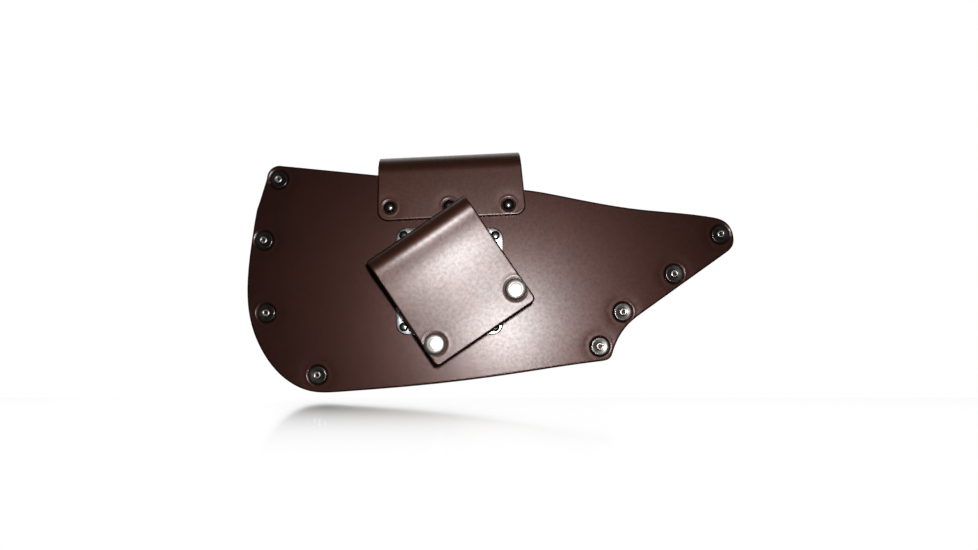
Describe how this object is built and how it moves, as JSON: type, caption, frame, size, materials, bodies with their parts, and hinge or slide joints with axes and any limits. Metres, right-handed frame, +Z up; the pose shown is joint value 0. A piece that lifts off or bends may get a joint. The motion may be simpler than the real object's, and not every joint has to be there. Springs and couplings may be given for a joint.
{
  "type": "axe sheath with swivel belt loop",
  "caption": "Leather sheath for a pick-head axe with a snap-over keeper flap and a snap-open belt loop on a ball-bearing swivel.",
  "frame": {"origin": "point of the belt loop's back leg that the belt bears on, on the swivel's axis", "axes": "+X from the blade end to the pick end, +Z up towards the mouth, -Y towards the wearer's belt, +Y away from the wearer"},
  "size_m": [0.3458, 0.0675, 0.1726],
  "materials": {
    "pouch_leather": "waxed chestnut brown bridle leather, semi-gloss",
    "welt_leather": "dark dyed leather, cut edges",
    "flap_leather": "waxed chestnut brown bridle leather, semi-gloss",
    "loop_leather": "waxed chestnut brown bridle leather, semi-gloss",
    "rivet_steel": "nickel plated, bright rolled ends",
    "dark_washer": "dark antique nickel",
    "plate_steel": "bright zinc plated sheet",
    "ball_steel": "polished bearing balls",
    "dark_rivet": "dark antique nickel",
    "bright_snap": "bright nickel plate"
  },
  "bodies": {
    "hanger": {"loop_back_leg": "loop_leather", "swivel_top_plate": "plate_steel", "hanger_rivets": "dark_rivet", "loop_studs": "bright_snap", "loop_stud_posts": "bright_snap"},
    "pouch": {"back_panel": "pouch_leather", "front_panel": "pouch_leather", "blade_welt": "welt_leather", "pick_welt": "welt_leather", "edge_rivets": "rivet_steel", "edge_washers": "dark_washer", "swivel_base_plate": "plate_steel", "bearing_balls": "ball_steel", "base_plate_rivets": "dark_rivet", "base_plate_burrs": "dark_rivet", "flap_fixed_leg": "flap_leather", "flap_rivets": "dark_rivet", "flap_rivet_backs": "dark_rivet", "closure_studs": "bright_snap", "closure_stud_posts": "bright_snap"},
    "loop_front": {"loop_front_leg": "loop_leather", "loop_snap_caps": "bright_snap", "loop_snap_sockets": "bright_snap"},
    "flap": {"flap_free_leg": "flap_leather", "closure_caps": "bright_snap", "closure_sockets": "bright_snap"}
  },
  "joints": [
    {"name": "swivel", "type": "hinge", "parent": "hanger", "child": "pouch", "pos_m": [0, 0.0075, 0], "axis": [0, 1, 0], "continuous": true},
    {"name": "loop_opening", "type": "hinge", "parent": "hanger", "child": "loop_front", "pos_m": [-0.02338, -0.00415, 0.03441], "axis": [-0.8271, 0, -0.5621], "range_deg": [0, 100]},
    {"name": "flap_opening", "type": "hinge", "parent": "pouch", "child": "flap", "pos_m": [-0.00412, 0.01163, 0.08742], "axis": [0.9989, 0, 0.0471], "range_deg": [0, 110]}
  ]
}
